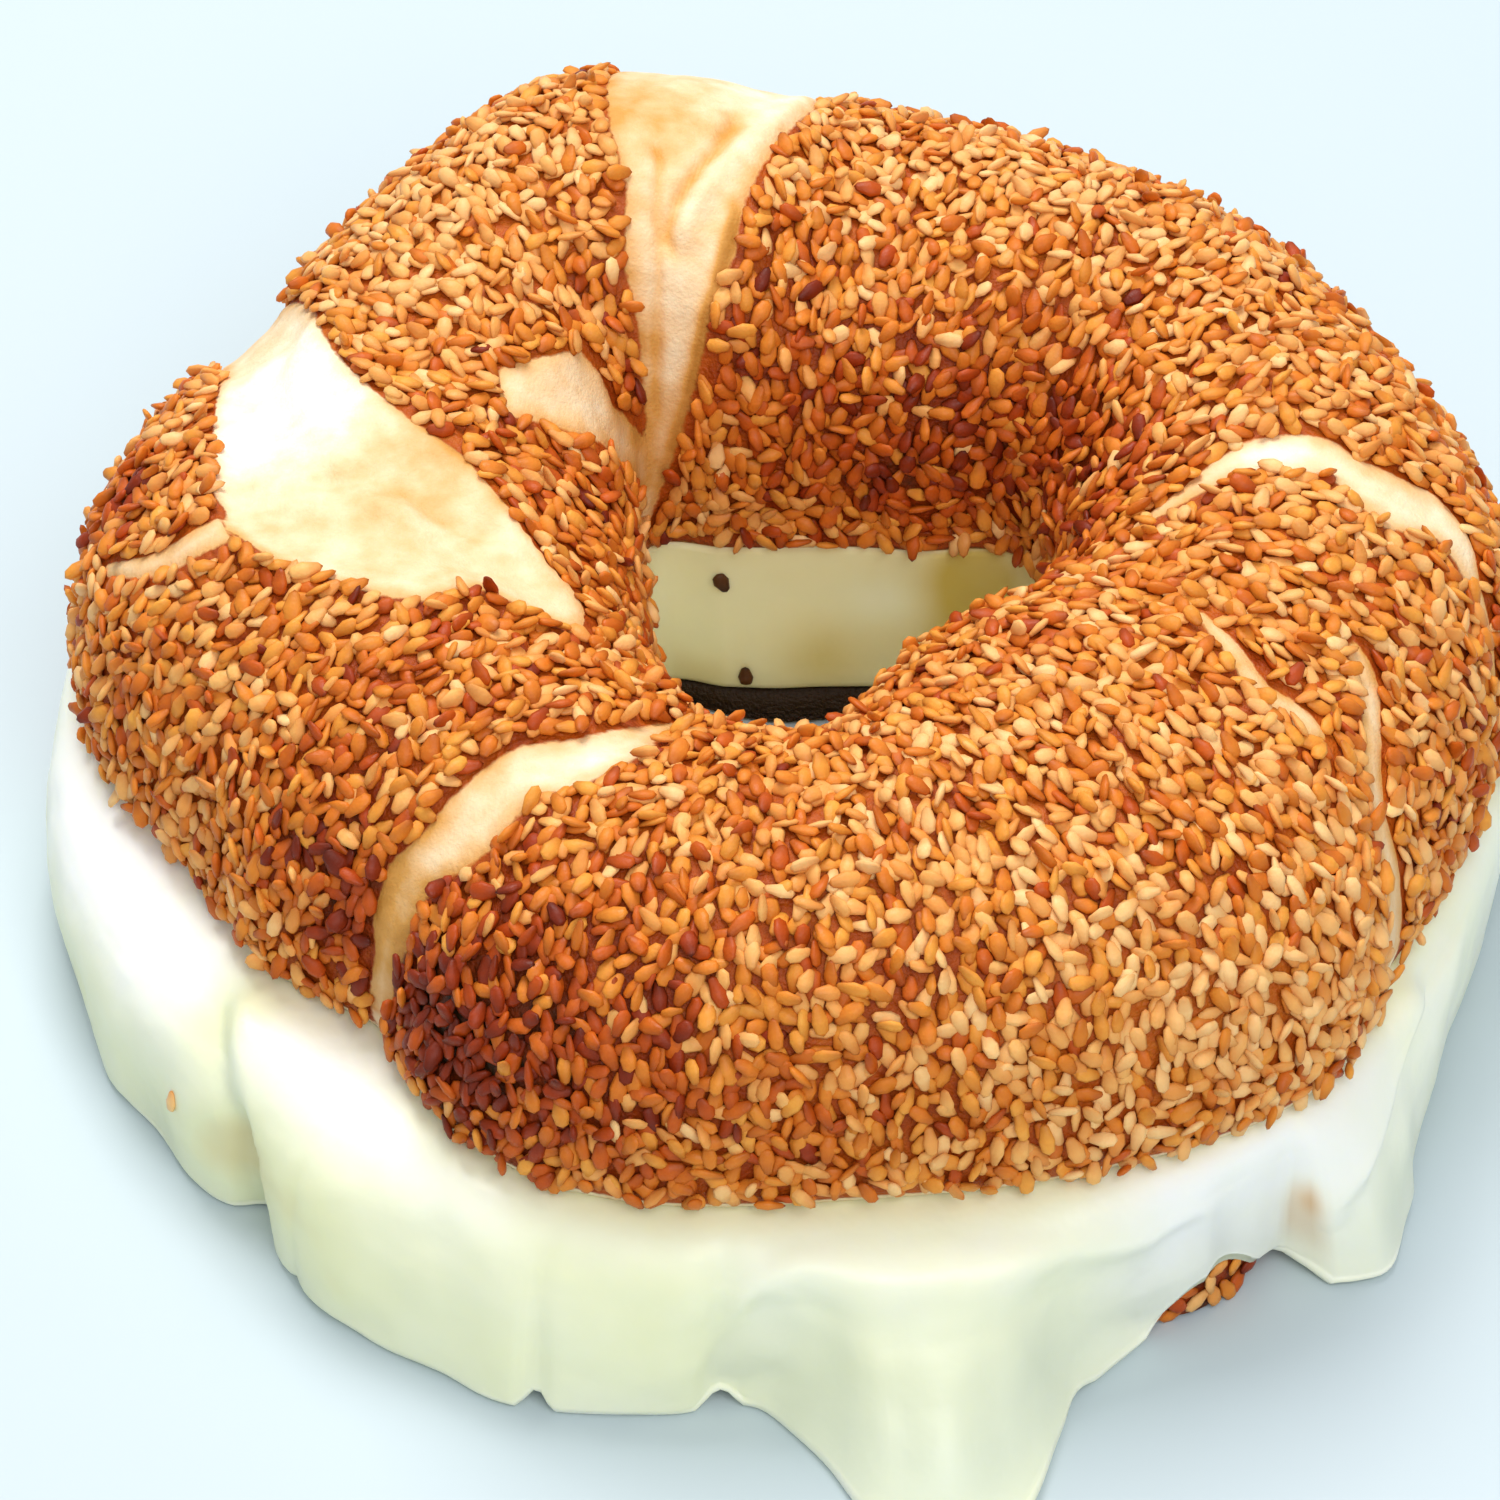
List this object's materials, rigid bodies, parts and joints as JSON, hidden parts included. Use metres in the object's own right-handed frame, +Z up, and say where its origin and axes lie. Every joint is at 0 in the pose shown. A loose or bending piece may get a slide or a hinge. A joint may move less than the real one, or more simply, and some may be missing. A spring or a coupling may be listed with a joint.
{
  "type": "cheese-filled simit",
  "caption": "Twisted sesame bread ring, cut level into two halves over a filling of melted white cheese that runs down its side and out in a tongue.",
  "frame": {"origin": "on the surface the ring stands on, below the centre of the whole part's outline; the ring's own axis stands at x 0.6 mm, y 9.3 mm", "axes": "+Z up out of the ring's hole, -Y towards the front, where the tongue of cheese runs out, +X to the right as seen from the front"},
  "size_m": [0.1363, 0.1529, 0.0518],
  "materials": {
    "crust": "baked golden brown bread crust under a dense coat of toasted sesame seeds, with pale bare dough along the seams of the twist",
    "cheese": "smooth, slightly glossy melted white cheese, cream coloured where it is thick"
  },
  "bodies": {
    "root": {"top_half": "crust", "cheese": "cheese", "bottom_half": "crust"}
  },
  "joints": []
}
